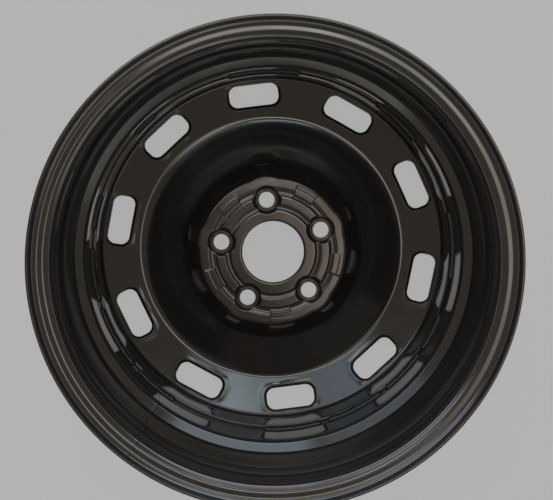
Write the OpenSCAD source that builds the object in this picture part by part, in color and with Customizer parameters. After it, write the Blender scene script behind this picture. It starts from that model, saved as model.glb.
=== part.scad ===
// Pressed steel road wheel: a rolled rim, a stamped disc and the weld beads that join them.
// The wheel lies flat, with its spin axis along Z and its inboard side up.
// The origin is on the axis, half way between the two flanges.
// Angles around the wheel run clockwise from +Y, as seen from the inboard side.

/* [Rim] */
// Diameter of the bead seats
seat_d = 405.6; // [380:0.1:440]
// Rim width between the inner faces of the two flanges
rim_w = 165.1; // [139.7:0.1:203.2]
// Thickness of the rim sheet
rim_t = 2.4; // [2:0.1:3.2]
// Height of a flange over its bead seat
flange_h = 17.3; // [16:0.1:18.5]
// Tyre side radius of the curl at the top of a flange
curl_r = 9.5; // [8:0.1:10.5]
// Straight length of the flange tip after the curl
tip_len = 2.4; // [1:0.1:4]
// Tyre side radius at the heel of a bead seat
heel_r = 6.5; // [4:0.1:7]
// Taper of a bead seat
seat_taper = 5; // [3:0.5:6]
// Length of a bead seat from its flange to the foot of its hump
seat_len = 14; // [12:0.5:16]
// Height of the round hump that holds the tyre bead
hump_h = 1.6; // [0.8:0.1:2]
// Length of the hump along the axis
hump_len = 8; // [6:0.5:10]
// Depth of the well below the bead seats
well_depth = 18.5; // [17.3:0.1:22]
// Place of the well's inboard end, from the middle of the rim
well_end = 9; // [0:0.5:16]
// Length of the steep slope out of the well, along the axis
ramp_len = 6.5; // [6:0.5:14]
// Rise of the steep slope out of the well
ramp_rise = 8; // [5:0.5:9]
// Drop from the inboard hump to the long ledge
ledge_drop = 3; // [1:0.5:4]
// Length of that drop along the axis
ledge_drop_len = 9; // [6:0.5:12]
// Steepness of the outboard wall of the well, from the axis
well_wall = 65; // [55:1:72]
// Radius of the bends at the foot and the top of a hump
hump_bend_r = 5; // [4:0.5:6]
// Radius of the bend at the top of the well's outboard wall
wall_top_r = 4.5; // [3:0.5:6]
// Radius of the bend at the foot of that wall
wall_foot_r = 6; // [4:0.5:8]
// Radius of the bend at the foot of the steep slope out of the well
slope_foot_r = 10; // [6:0.5:12]
// Radius of the two bends of the long ledge
ledge_bend_r = 12; // [8:0.5:14]

/* [Disc] */
// Inset: how far the mounting face stands outboard of the middle of the rim
inset = 45; // [35:0.5:52]
// Thickness of the disc sheet
disc_t = 3.6; // [3:0.1:4.5]
// How far the flat mounting pad reaches outside the bolt circle
pad_margin = 18.3; // [16:0.1:19.5]
// Inboard radius of the rounded shoulder around the pad
shoulder_r = 9.6; // [7:0.1:12]
// Steepness of the wall under the shoulder, from the pad
wall_slope = 60; // [50:1:68]
// Inboard radius at the foot of that wall
foot_r = 12; // [6:0.5:16]
// Fall of the bowl floor towards the nose ring
bowl_slope = 17.5; // [14:0.5:20]
// Width of the flatter apron between the bowl floor and the nose ring
apron_w = 8; // [7.6:0.2:12]
// Fall of that apron towards the nose ring
apron_slope = 8; // [7:0.5:11]
// Inboard radius of the bend from the bowl floor to the apron
apron_bend_r = 46; // [20:1:48]
// Width of the vent band, from the nose ring out to the skirt's outer face
band_w = 42.6; // [40:0.1:48]
// Depth of the nose ring below the mounting face
nose_drop = 34.5; // [28:0.5:38]
// Inboard radius of the bend at the nose ring
nose_bend_r = 9; // [3:0.5:11]
// Rise of the vent band from the nose ring towards the skirt
vent_slope = 20; // [12:0.5:30]
// Inboard radius of the bend from the vent band to the skirt
skirt_bend_r = 4.2; // [3:0.1:10]
// Place of the skirt's welded edge, outboard of the middle of the rim
edge_z = 30; // [22:0.5:40]
// Gap between the skirt and the well it is pressed into
skirt_gap = 0; // [0:0.05:0.3]

/* [Hub holes] */
// Diameter of the centre bore
bore_d = 63.4; // [54:0.1:67.1]
// Width of the bevel at the inboard mouth of the bore
bore_bevel = 1.2; // [0.4:0.1:2]
// Number of wheel bolts
lug_count = 5; // [4:1:5]
// Diameter of the bolt circle
lug_pcd = 108; // [98:0.1:114.3]
// Diameter of a bolt hole
lug_d = 16; // [13:0.1:17]
// Height of the nut boss over the outboard face
boss_h = 3.2; // [2:0.1:4]
// Radius of the nut boss at its top
boss_r = 15; // [13:0.1:16]
// Spread of the nut boss from its top to its base
boss_spread = 2.4; // [1.6:0.1:3]
// Widest diameter of the conical nut seat
nut_seat_d = 20.8; // [19:0.1:24]
// Cone angle of the nut seat
nut_seat_angle = 60; // [60:1:90]
// Radius of the round recess around a bolt hole on the inboard side
recess_r = 14.8; // [13.5:0.1:16]
// Depth of that recess
recess_h = 3.2; // [2:0.1:4]
// Width of the recess's flat floor, between the collar's side and its own sloping side
recess_floor_w = 1; // [0.4:0.1:1.2]
// Width of the raised collar around a bolt hole
collar_w = 1.3; // [1:0.1:2]
// Width of the collar's sloping outer side
collar_side = 0.9; // [0.4:0.1:1.2]
// How far the collar stays below the mounting face
collar_drop = 1; // [0.5:0.1:2]
// Width of the pad's rim around each recess, where the pad bulges
lobe_w = 6; // [5:0.1:7]

/* [Mounting lands] */
// Outer radius of the inner land
inner_land_r = 43.2; // [40:0.1:43.8]
// Inner radius of the middle land
mid_land_r = 49.4; // [48.8:0.1:51]
// Width of the middle land
mid_land_w = 8.2; // [7.5:0.1:9]
// Width of the outer land
outer_land_w = 6.4; // [5:0.1:7]
// Depth of the grooves between the lands
groove_h = 1.2; // [0.6:0.1:1.6]
// Width of a groove's sloping side
groove_side = 2; // [0.3:0.1:2.4]
// Half angle of the wider stretch in the middle of each outer land
wide_half = 9.3; // [6:0.1:14]
// How much wider the outer land is there
wide_by = 3.2; // [1:0.1:3.6]
// Step from that stretch down to the rest of the outer land
land_step = 0.4; // [0.2:0.1:0.8]
// Diameter of the index dimple in one middle land
dimple_d = 6; // [4:0.5:8]
// Depth of the index dimple
dimple_h = 1; // [0.5:0.1:1.5]

/* [Vent slots] */
// Number of vent slots
slot_count = 10; // [5:1:10]
// Distance of the slots' middles from the skirt's outer face
slot_inset = 21.4; // [20:0.1:24]
// Length of a slot around the wheel
slot_l = 51; // [38:0.5:54]
// Width of a slot along the slope of the vent band
slot_w = 23; // [16:0.5:24]
// Corner radius of a slot
slot_r = 8.6; // [5:0.1:10]
// Width of the coined lip at a slot's inboard edge
lip_w = 1.8; // [1:0.1:2.4]

/* [Valve and welds] */
// Diameter of the valve hole
valve_d = 11.3; // [11:0.1:12]
// Place of the valve hole around the wheel
valve_angle = 36; // [0:1:359]
// Leg of a weld bead up the wall of the well
bead_leg = 5; // [3.5:0.1:6]
// Bare width of skirt edge inside a weld bead
bead_bare = 0.3; // [0.1:0.1:1]
// Angle over which a weld bead tapers off at each end
bead_taper = 0.8; // [0.3:0.1:1.5]
// Size of the bead's section there, as a share of the full section
bead_end_share = 0.72; // [0.5:0.01:0.9]

/* [Hidden] */
$fn = 128;
// Where each weld bead starts and how far it runs, clockwise in degrees
BEADS = [[352.5, 23], [41, 17.5], [83, 22.5], [117, 13], [131.5, 16], [149, 20], [171, 19], [220.5, 15.5],
         [238, 21.5], [261.5, 17.5], [284.5, 11.5], [318, 9]];
// Largest turn of a bend between two neighbouring points of its arc
arc_step = 7.5;
// How far a cutter reaches past the face that it cuts
over = 1;
// How far the lowest cutters reach below the nose ring
below_nose = 25;
// Place of the index dimple around the wheel, counted in bolt spacings
dimple_place = 3.5;
// Half angle, about the bolt's axis, of the stretch of wall that bulges outside a bolt hole
lobe_half = 50;
paint = [0.09, 0.09, 0.095];
weld_paint = [0.13, 0.13, 0.135];

seat_r = seat_d / 2;
flange_r = seat_r + flange_h;
flange_z = rim_w / 2 + rim_t / 2;
tip_z = rim_w / 2 + curl_r + tip_len;
well_r = seat_r - well_depth - rim_t;
well_line_r = well_r + rim_t / 2;
hump_foot_r = seat_r - rim_t / 2 - (rim_t / 2 + seat_len) * tan(seat_taper);
hump_foot_z = rim_w / 2 - seat_len;
hump_end_z = hump_foot_z - hump_len;
hump_end_r = hump_foot_r - hump_len * tan(seat_taper);
well_wall_len = (hump_end_r - well_line_r) / tan(well_wall);

face_z = -inset;
skirt_r = well_r - skirt_gap;
nose_r = skirt_r - band_w;
slot_ring_r = skirt_r - slot_inset;
lug_r = lug_pcd / 2;
pad_r = lug_r + pad_margin;
skirt_line_r = skirt_r - disc_t / 2;
nose_line_z = face_z - nose_drop - disc_t / 2;
skirt_foot_z = nose_line_z + (skirt_line_r - nose_r) * tan(vent_slope);
shoulder_reach = shoulder_r * tan(wall_slope / 2);
line_shift = disc_t / 2 * tan(wall_slope / 2);
shoulder_line_r = shoulder_r - disc_t / 2;
pad_corner_r = pad_r + shoulder_reach - line_shift;
lobe_corner_r = recess_r + lobe_w + shoulder_reach - line_shift;
// The bulge outside a bolt hole starts just inside the pad's own edge
lobe_start_r = pad_margin - over / 2;
apron_r = nose_r - apron_w;
apron_line_z = nose_line_z + apron_w * tan(apron_slope);
// The bowl floor and the pad's wall are two straight lines, and they meet at the foot
foot_drop = face_z - disc_t / 2 - apron_line_z;
foot_line_r = (foot_drop + pad_corner_r * tan(wall_slope) - apron_r * tan(bowl_slope))
    / (tan(wall_slope) - tan(bowl_slope));
foot_line_z = apron_line_z + (apron_r - foot_line_r) * tan(bowl_slope);
under_z = nose_line_z - below_nose;

function unit(v) = v / norm(v);
function turned(v, a) = [v[0] * cos(a) - v[1] * sin(a), v[0] * sin(a) + v[1] * cos(a)];

// Points of the arc of radius r that rounds the corner b of the lines a to b and b to c
function bend(a, b, c, r) =
    let (to_a = unit(a - b))
    let (to_c = unit(c - b))
    let (half = acos(to_a * to_c) / 2)
    let (centre = b + unit(to_a + to_c) * r / sin(half))
    let (first = b + to_a * r / tan(half) - centre)
    let (last = b + to_c * r / tan(half) - centre)
    let (turn = (180 - 2 * half) * sign(cross(first, last)))
    let (steps = max(2, ceil(abs(turn) / arc_step)))
    [for (i = [0:steps]) centre + turned(first, turn * i / steps)];

// The line of a bent sheet, from corners given as [radius, height, bend radius]
function sheet_line(corners) = [
    for (i = [0:len(corners) - 1])
        let (here = [corners[i][0], corners[i][1]])
        let (ends = i == 0 || i == len(corners) - 1)
        let (before = ends ? here : [corners[i - 1][0], corners[i - 1][1]])
        let (after = ends ? here : [corners[i + 1][0], corners[i + 1][1]])
        each (ends ? [here] : bend(before, here, after, corners[i][2]))
];

// The same line moved sideways by d, to the left of its run
function beside(line, d) = [
    for (i = [0:len(line) - 1])
        let (way_in = unit(line[max(i, 1)] - line[max(i, 1) - 1]))
        let (way_out = unit(line[min(i, len(line) - 2) + 1] - line[min(i, len(line) - 2)]))
        let (way = unit(way_in + way_out))
        line[i] + [-way[1], way[0]] * d / (way * way_in)
];

function reversed(list) = [for (i = [len(list) - 1:-1:0]) list[i]];

// Closed section of a sheet of thickness t along a line
function sheet_section(line, t) = concat(beside(line, t / 2), reversed(beside(line, -t / 2)));

// Corners of one flange, its bead seat and its hump, for the side s: 1 inboard, -1 outboard
function flange_corners(s) = [
    [flange_r - rim_t / 2, s * tip_z, 0],
    [flange_r - rim_t / 2, s * flange_z, curl_r - rim_t / 2],
    [seat_r - rim_t / 2, s * flange_z, heel_r + rim_t / 2],
    [hump_foot_r, s * hump_foot_z, hump_bend_r],
    [hump_foot_r + hump_h, s * (hump_foot_z - hump_len / 2), hump_bend_r]
];

rim_corners = concat(
    flange_corners(-1),
    [
        [hump_end_r, -hump_end_z, wall_top_r],
        [well_line_r, -hump_end_z + well_wall_len, wall_foot_r],
        [well_line_r, well_end, slope_foot_r],
        [well_line_r + ramp_rise, well_end + ramp_len, ledge_bend_r],
        [hump_end_r - ledge_drop, hump_end_z - ledge_drop_len, ledge_bend_r],
        [hump_end_r, hump_end_z, hump_bend_r]
    ],
    reversed(flange_corners(1))
);

disc_line = sheet_line([
    [0, face_z - disc_t / 2, 0],
    [pad_corner_r, face_z - disc_t / 2, shoulder_line_r],
    [foot_line_r, foot_line_z, foot_r + disc_t / 2],
    [apron_r, apron_line_z, apron_bend_r + disc_t / 2],
    [nose_r, nose_line_z, nose_bend_r + disc_t / 2],
    [skirt_line_r, skirt_foot_z, skirt_bend_r + disc_t / 2],
    [skirt_line_r, -edge_z + over, 0]
]);

// The pad's bulge outside a bolt hole: the same shoulder and wall, turned about the bolt's axis
lobe_line = sheet_line([
    [lobe_start_r, face_z - disc_t / 2, 0],
    [lobe_corner_r, face_z - disc_t / 2, shoulder_line_r],
    [lobe_corner_r + (face_z - under_z) / tan(wall_slope), under_z, 0]
]);

module at_angle(a, r = 0) {
    rotate([0, 0, -a]) translate([0, r, 0]) children();
}

module at_lugs() {
    for (i = [0:lug_count - 1]) {
        at_angle(i * 360 / lug_count, lug_r) children();
    }
}

// All that lies outboard of one face of the disc sheet; side 1 is the inboard face, -1 the outboard
module below_face(side) {
    reach_r = skirt_r + (side > 0 ? over : 2 * over);
    floor_z = under_z - (side > 0 ? 0 : over);
    rotate_extrude() polygon(concat(
        beside(disc_line, side * disc_t / 2),
        [[reach_r, -edge_z + over], [reach_r, floor_z], [0, floor_z]]
    ));
    at_lugs() rotate([0, 0, 90 - lobe_half]) rotate_extrude(angle = 2 * lobe_half) polygon(concat(
        beside(lobe_line, side * disc_t / 2),
        [[lobe_start_r, under_z]]
    ));
}

// Groove between the inner and the middle land, with sloping sides
module inner_groove() {
    flare = over * groove_side / groove_h;
    rotate_extrude() polygon([
        [inner_land_r - flare, face_z + over],
        [inner_land_r + groove_side, face_z - groove_h],
        [mid_land_r - groove_side, face_z - groove_h],
        [mid_land_r + flare, face_z + over]
    ]);
}

// Groove between the middle and the outer land, and the step down of the outer land outside it;
// both stop at the wider stretch in the middle of each outer land
module outer_groove() {
    flare = over * groove_side / groove_h;
    groove_r = mid_land_r + mid_land_w;
    land_r = pad_r - outer_land_w;
    wide_r = land_r - wide_by;
    reach_r = pad_r + lobe_w;
    difference() {
        rotate_extrude() polygon([
            [groove_r - flare, face_z + over],
            [groove_r + groove_side, face_z - groove_h],
            [land_r - groove_side, face_z - groove_h],
            [land_r - groove_side * land_step / groove_h, face_z - land_step],
            [reach_r, face_z - land_step],
            [reach_r, face_z + over]
        ]);
        for (i = [0:lug_count - 1]) {
            at_angle((i + 0.5) * 360 / lug_count) rotate([0, 0, 90 - wide_half])
                rotate_extrude(angle = 2 * wide_half) polygon([
                    [wide_r - groove_side - flare, face_z - groove_h - over],
                    [wide_r + 2 * flare, face_z + 2 * over],
                    [reach_r + over, face_z + 2 * over],
                    [reach_r + over, face_z - groove_h - over]
                ]);
        }
    }
}

// Cut for one bolt: the conical nut seat from outboard, the hole itself, and on the inboard side
// the round recess that leaves a raised collar around the hole
module lug_cut() {
    seat_z = face_z - disc_t - boss_h;
    half_angle = nut_seat_angle / 2;
    seat_h = (nut_seat_d - lug_d) / 2 / tan(half_angle);
    collar_r = lug_d / 2 + collar_w;
    floor_r = collar_r + collar_side;
    side_w = recess_r - floor_r - recess_floor_w;
    rotate_extrude() polygon([
        [0, seat_z - over],
        [nut_seat_d / 2 + over * tan(half_angle), seat_z - over],
        [lug_d / 2, seat_z + seat_h],
        [lug_d / 2, face_z - collar_drop],
        [collar_r, face_z - collar_drop],
        [floor_r, face_z - recess_h],
        [floor_r + recess_floor_w, face_z - recess_h],
        [recess_r + over * side_w / recess_h, face_z + over],
        [0, face_z + over]
    ]);
}

// Nut boss that stands out of the outboard face
module nut_boss() {
    back_z = face_z - disc_t;
    translate([0, 0, back_z - boss_h])
        cylinder(h = boss_h + disc_t / 2, r1 = boss_r, r2 = boss_r + boss_spread * (1 + disc_t / 2 / boss_h));
}

// Centre bore with a bevel at its inboard mouth
module bore_cut() {
    rotate_extrude() polygon([
        [0, face_z - disc_t - over],
        [bore_d / 2, face_z - disc_t - over],
        [bore_d / 2, face_z - bore_bevel],
        [bore_d / 2 + bore_bevel + over, face_z + over],
        [0, face_z + over]
    ]);
}

// Straight walled block with rounded corners
module slot_block(l, w, r, h) {
    translate([-l / 2 + r, -w / 2, 0]) cube([l - 2 * r, w, h]);
    translate([-l / 2, -w / 2 + r, 0]) cube([l, w - 2 * r, h]);
    for (x = [-l / 2 + r, l / 2 - r]) {
        for (y = [-w / 2 + r, w / 2 - r]) {
            translate([x, y, 0]) cylinder(h = h, r = r);
        }
    }
}

// Bevel that widens a slot by b over the height b, and then by as much again above it
module slot_bevel(l, w, r, b) {
    flat_l = l - 2 * r;
    flat_w = w - 2 * r;
    translate([flat_l / 2, 0, 0]) rotate([90, 0, -90]) linear_extrude(flat_l)
        polygon([[-w / 2, 0], [w / 2, 0], [w / 2 + 2 * b, 2 * b], [-w / 2 - 2 * b, 2 * b]]);
    translate([0, flat_w / 2, 0]) rotate([90, 0, 0]) linear_extrude(flat_w)
        polygon([[-l / 2, 0], [l / 2, 0], [l / 2 + 2 * b, 2 * b], [-l / 2 - 2 * b, 2 * b]]);
    for (x = [-flat_l / 2, flat_l / 2]) {
        for (y = [-flat_w / 2, flat_w / 2]) {
            translate([x, y, 0]) cylinder(h = 2 * b, r1 = r, r2 = r + 2 * b);
        }
    }
}

// Vent slots through the sloping band, each with a coined lip on the inboard side
module vent_slots() {
    band_z = nose_line_z + (slot_ring_r - nose_r) * tan(vent_slope) + disc_t / 2 / cos(vent_slope);
    for (i = [0:slot_count - 1]) {
        at_angle(i * 360 / slot_count, slot_ring_r) translate([0, 0, band_z]) rotate([vent_slope, 0, 0]) {
            translate([0, 0, -3 * disc_t]) slot_block(slot_l, slot_w, slot_r, 4 * disc_t);
            translate([0, 0, -lip_w]) slot_bevel(slot_l, slot_w, slot_r, lip_w);
        }
    }
}

// Rolled and butt welded hoop with its flanges, bead seats, humps and well, drilled for the valve
module rim() {
    wall_mid_r = (well_line_r + hump_end_r) / 2;
    wall_mid_z = -hump_end_z + well_wall_len / 2;
    color(paint) difference() {
        rotate_extrude() polygon(sheet_section(sheet_line(rim_corners), rim_t));
        at_angle(valve_angle, wall_mid_r) translate([0, 0, wall_mid_z]) rotate([-90 + well_wall, 0, 0])
            translate([0, 0, -3 * rim_t]) cylinder(h = 6 * rim_t, d = valve_d);
    }
}

// Stamped disc: mounting pad, bowl, nose ring, vent band and skirt in one sheet
module disc() {
    mid_land_mid_r = mid_land_r + mid_land_w / 2;
    dimple_angle = dimple_place * 360 / lug_count;
    color(paint) difference() {
        below_face(1);
        difference() {
            below_face(-1);
            at_lugs() nut_boss();
        }
        translate([0, 0, -edge_z]) cylinder(h = 3 * over, r = skirt_r + 3 * over);
        bore_cut();
        inner_groove();
        outer_groove();
        at_lugs() lug_cut();
        at_angle(dimple_angle, mid_land_mid_r) translate([0, 0, face_z - dimple_h])
            cylinder(h = dimple_h + over, d = dimple_d);
        vent_slots();
    }
}

// Section of a weld bead: a rounded fillet in the corner of the skirt's edge and the well, with the
// corner at the origin, the well along +Y and the skirt's edge along +X
function bead_section(share) = concat(
    [[0, 0]],
    [for (a = [0:15:90]) share * [(disc_t - bead_bare) * cos(a), bead_leg * sin(a)]]
);

// Stretch of bead from one angle to another
module bead_stretch(from, to, share) {
    translate([0, 0, -edge_z]) rotate([0, 0, 90 - to]) rotate_extrude(angle = to - from)
        translate([well_r, 0]) mirror([1, 0]) polygon(bead_section(share));
}

// One weld bead from the angle start on, which tapers off at both ends
module weld_bead(start, sweep) {
    bead_stretch(start + bead_taper, start + sweep - bead_taper, 1);
    bead_stretch(start, start + sweep, bead_end_share);
}

// Weld beads that join the skirt's edge to the well
module weld_beads() {
    color(weld_paint) for (bead = BEADS) {
        weld_bead(bead[0], bead[1]);
    }
}

rim();
disc();
weld_beads();
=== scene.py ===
"""Looks of a pressed steel road wheel: a rolled rim, a stamped disc and the weld beads between them.

The wheel lies flat, with its spin axis along Z and its inboard side up. Lengths in this file are in
millimetres and become metres when a mesh is made. Angles are in degrees, clockwise from +Y as seen
from the inboard side. A sheet is described by its middle line in the plane of radius and height.
"""

import logging
import math
from dataclasses import dataclass, field
from enum import Enum
from typing import Any, Optional, Sequence

import bmesh
import bpy
import numpy as np
from mathutils import Matrix, Vector


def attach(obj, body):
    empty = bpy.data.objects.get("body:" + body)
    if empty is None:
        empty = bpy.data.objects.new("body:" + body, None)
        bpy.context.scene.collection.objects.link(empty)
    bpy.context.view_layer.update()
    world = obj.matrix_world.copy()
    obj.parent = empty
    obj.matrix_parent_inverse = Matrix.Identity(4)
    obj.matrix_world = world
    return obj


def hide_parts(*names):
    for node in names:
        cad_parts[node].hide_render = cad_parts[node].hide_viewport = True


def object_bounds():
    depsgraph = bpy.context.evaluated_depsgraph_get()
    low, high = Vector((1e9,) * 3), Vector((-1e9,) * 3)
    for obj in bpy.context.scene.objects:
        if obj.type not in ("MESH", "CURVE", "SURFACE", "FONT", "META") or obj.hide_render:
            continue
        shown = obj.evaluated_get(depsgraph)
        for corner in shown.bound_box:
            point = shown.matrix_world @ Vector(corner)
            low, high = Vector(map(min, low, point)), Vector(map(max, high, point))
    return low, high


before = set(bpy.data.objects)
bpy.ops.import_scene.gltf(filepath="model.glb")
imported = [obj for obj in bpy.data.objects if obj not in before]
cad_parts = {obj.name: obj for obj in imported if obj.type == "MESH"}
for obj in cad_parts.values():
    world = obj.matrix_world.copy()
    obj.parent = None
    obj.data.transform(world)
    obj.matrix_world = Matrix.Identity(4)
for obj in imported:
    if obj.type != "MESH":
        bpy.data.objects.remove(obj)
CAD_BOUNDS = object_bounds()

log = logging.getLogger("wheel")

MM = 0.001
# points nearer than SEW become one, and lengths nearer than CLOSE count as the same
SEW = 0.004
CLOSE = 1e-4
BODY = "root"


class Side(Enum):
    """Face of a sheet; the value is the sign of its offset from the middle line."""

    INBOARD = 1
    OUTBOARD = -1


def smooth_step(value: np.ndarray, low: float, high: float) -> np.ndarray:
    """Rise from 0 to 1 between two limits.

    Args:
        value: Where to read the curve.
        low: Limit below which the curve is 0.
        high: Limit above which the curve is 1.

    Returns:
        3 t^2 - 2 t^3, where t is the share of the way from low to high, kept between 0 and 1.
    """
    t = np.clip((value - low) / (high - low), 0.0, 1.0)
    return t * t * (3.0 - 2.0 * t)


def soft_max(a: np.ndarray, b: np.ndarray, width: float) -> np.ndarray:
    """The larger of two values, with the corner between them rounded.

    Args:
        a: First value.
        b: Second value.
        width: Difference between the two at which the rounding ends.

    Returns:
        max(a, b) plus a quarter of width times the square of the share of width that is left.
    """
    share = np.maximum(width - np.abs(a - b), 0.0) / width
    return np.maximum(a, b) + share * share * width / 4.0


def wheel_points(r: np.ndarray, angle: np.ndarray, z: np.ndarray) -> np.ndarray:
    """Points at a radius, an angle clockwise from +Y and a height; the three broadcast together."""
    r, angle, z = np.broadcast_arrays(r, np.radians(angle), z)
    return np.stack([r * np.sin(angle), r * np.cos(angle), z], axis=-1)


def turned(grid: np.ndarray, angle: float) -> np.ndarray:
    """A grid of points turned clockwise about the spin axis."""
    a = math.radians(angle)
    x, y, z = np.moveaxis(grid, -1, 0)
    return np.stack([x * math.cos(a) + y * math.sin(a), y * math.cos(a) - x * math.sin(a), z], axis=-1)


def mirrored(grid: np.ndarray) -> np.ndarray:
    """A grid of points mirrored to the other side of the plane through Y and Z."""
    return grid * np.array([-1.0, 1.0, 1.0])


def deepest(*depths: np.ndarray) -> np.ndarray:
    """The largest of several depths that are never negative, with the corners between them rounded.

    Args:
        depths: Arrays of depths that broadcast together.

    Returns:
        The eighth root of the sum of their eighth powers, which stays 0 where all of them are 0.
    """
    return sum(d**8 for d in depths) ** 0.125


def angle_between(a: np.ndarray, b: np.ndarray, opposite: np.ndarray) -> np.ndarray:
    """Angle between two sides of a triangle, by the law of cosines, from the side opposite it."""
    return np.arccos(np.clip((a**2 + b**2 - opposite**2) / (2.0 * a * b), -1.0, 1.0))


@dataclass(frozen=True)
class Corner:
    """Corner of a sheet's middle line and the radius of the bend that rounds it."""

    r: float
    z: float
    bend: float = 0.0

    @property
    def point(self) -> np.ndarray:
        """The corner as an array of radius and height."""
        return np.array([self.r, self.z])


class SheetLine:
    """Middle line of a bent sheet: straight runs joined by true arcs, measured by its length."""

    FINE_TURN = 1.0

    def __init__(self, corners: Sequence[Corner]) -> None:
        """Lay the line.

        Each corner is rounded by an arc that touches both of its runs: its centre lies on the
        corner's bisector, at the bend radius divided by the sine of half the corner's angle.

        Args:
            corners: The line's corners from its start to its end.
        """
        self.stretches: list[tuple[float, float, float]] = []
        self._points: list[np.ndarray] = []
        self._normals: list[np.ndarray] = []
        self._lengths: list[np.ndarray] = []
        self.length = 0.0
        start = corners[0].point
        for before, here, after in zip(corners, corners[1:], corners[2:]):
            to_before = self._unit(before.point - here.point)
            to_after = self._unit(after.point - here.point)
            half = math.acos(float(to_before @ to_after)) / 2.0
            centre = here.point + self._unit(to_before + to_after) * here.bend / math.sin(half)
            first = here.point + to_before * here.bend / math.tan(half)
            last = here.point + to_after * here.bend / math.tan(half)
            self._add_run(start, first)
            self._add_bend(centre, first, last, math.pi - 2.0 * half)
            start = last
        self._add_run(start, corners[-1].point)
        self._s = np.concatenate(self._lengths)
        self._p = np.vstack(self._points)
        self._n = np.vstack(self._normals)

    @staticmethod
    def _unit(v: np.ndarray) -> np.ndarray:
        """The vector at length 1."""
        return v / np.linalg.norm(v)

    def _add(self, points: np.ndarray, normals: np.ndarray, length: float, turn: float) -> None:
        """Append one stretch with its points, left-hand normals, length and turn in degrees."""
        self._lengths.append(self.length + np.linspace(0.0, length, len(points)))
        self._points.append(points)
        self._normals.append(normals)
        self.stretches.append((self.length, self.length + length, turn))
        self.length += length

    def _add_run(self, start: np.ndarray, end: np.ndarray) -> None:
        """Append a straight run."""
        way = self._unit(end - start)
        normal = np.array([-way[1], way[0]])
        self._add(np.array([start, end]), np.array([normal, normal]), float(np.linalg.norm(end - start)), 0.0)

    def _add_bend(self, centre: np.ndarray, first: np.ndarray, last: np.ndarray, turn: float) -> None:
        """Append an arc; its normals point to the left of the way the line runs."""
        a, b = first - centre, last - centre
        sign = math.copysign(1.0, a[0] * b[1] - a[1] * b[0])
        radius = float(np.linalg.norm(a))
        steps = max(2, math.ceil(math.degrees(turn) / self.FINE_TURN))
        at = math.atan2(a[1], a[0]) + sign * turn * np.linspace(0.0, 1.0, steps + 1)
        out = np.stack([np.cos(at), np.sin(at)], axis=-1)
        self._add(centre + radius * out, -sign * out, radius * turn, math.degrees(turn))

    def at(self, s: np.ndarray, offset: float = 0.0) -> tuple[np.ndarray, np.ndarray]:
        """Radius and height at a length along the line.

        Args:
            s: Lengths along the line.
            offset: Distance to the left of the line, along its normal.

        Returns:
            Two arrays shaped like s: the radii and the heights.
        """
        n_r = np.interp(s, self._s, self._n[:, 0])
        n_z = np.interp(s, self._s, self._n[:, 1])
        size = np.hypot(n_r, n_z)
        r = np.interp(s, self._s, self._p[:, 0]) + offset * n_r / size
        z = np.interp(s, self._s, self._p[:, 1]) + offset * n_z / size
        return r, z

    def bend_end(self, index: int) -> float:
        """Length at which a bend ends; the first has index 0."""
        return self.stretches[2 * index + 1][1]

    def rows(self, turn_step: float, run_step: float, low: float = 0.0, high: float = math.inf) -> np.ndarray:
        """Lengths at which a mesh needs a row.

        Args:
            turn_step: Largest turn between two rows on a bend.
            run_step: Largest distance between two rows on a straight run.
            low: Length at which the rows start.
            high: Length at which the rows end.

        Returns:
            Rising lengths, with both ends of every stretch and of the wanted range among them.
        """
        high = min(high, self.length)
        parts = [np.array([low, high])]
        for start, end, turn in self.stretches:
            need = turn / turn_step if turn else (end - start) / run_step
            parts.append(np.linspace(start, end, max(1, math.ceil(need)) + 1))
        every = np.unique(np.round(np.concatenate(parts), 5))
        return every[(every >= low - CLOSE) & (every <= high + CLOSE)]


def edge_round(line: SheetLine, end: float, half: float, radius: float, steps: int = 4) -> tuple:
    """Radius and height round the cut end of a sheet, from its left face to its right face.

    The two corners of the cut are quarter circles, and the end itself stays straight between them.

    Args:
        line: The sheet's middle line.
        end: Length of the line at its cut end, which is 0 or the line's own length.
        half: Half the sheet's thickness.
        radius: Radius of the two corners.
        steps: Steps in each corner.

    Returns:
        Two arrays: the radii and the heights, with both starts of the corners included.
    """
    outward = -1.0 if end == 0.0 else 1.0
    near = end - outward * radius
    base = np.array(line.at(np.array([near]), 0.0)).ravel()
    tip = np.array(line.at(np.array([end]), 0.0)).ravel()
    left = np.array(line.at(np.array([near]), 1.0)).ravel() - base
    way = (tip - base) / np.linalg.norm(tip - base)
    turn = np.linspace(0.0, math.pi / 2.0, steps + 1)
    side = half - radius + radius * np.cos(turn)
    ahead = radius * np.sin(turn)
    off = np.concatenate([side, -side[::-1]])
    ext = np.concatenate([ahead, ahead[::-1]])
    points = base + np.outer(off, left) + np.outer(ext, way)
    return points[:, 0], points[:, 1]


def rounded_profile(*corners: tuple) -> np.ndarray:
    """Profile through corners that are rounded by a few points each.

    Args:
        corners: For each corner its radius, its depth and the offsets of its points from there.

    Returns:
        Points as (radius, depth).
    """
    return np.concatenate([np.array([r, depth]) + np.array(offsets) for r, depth, offsets in corners])


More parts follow.
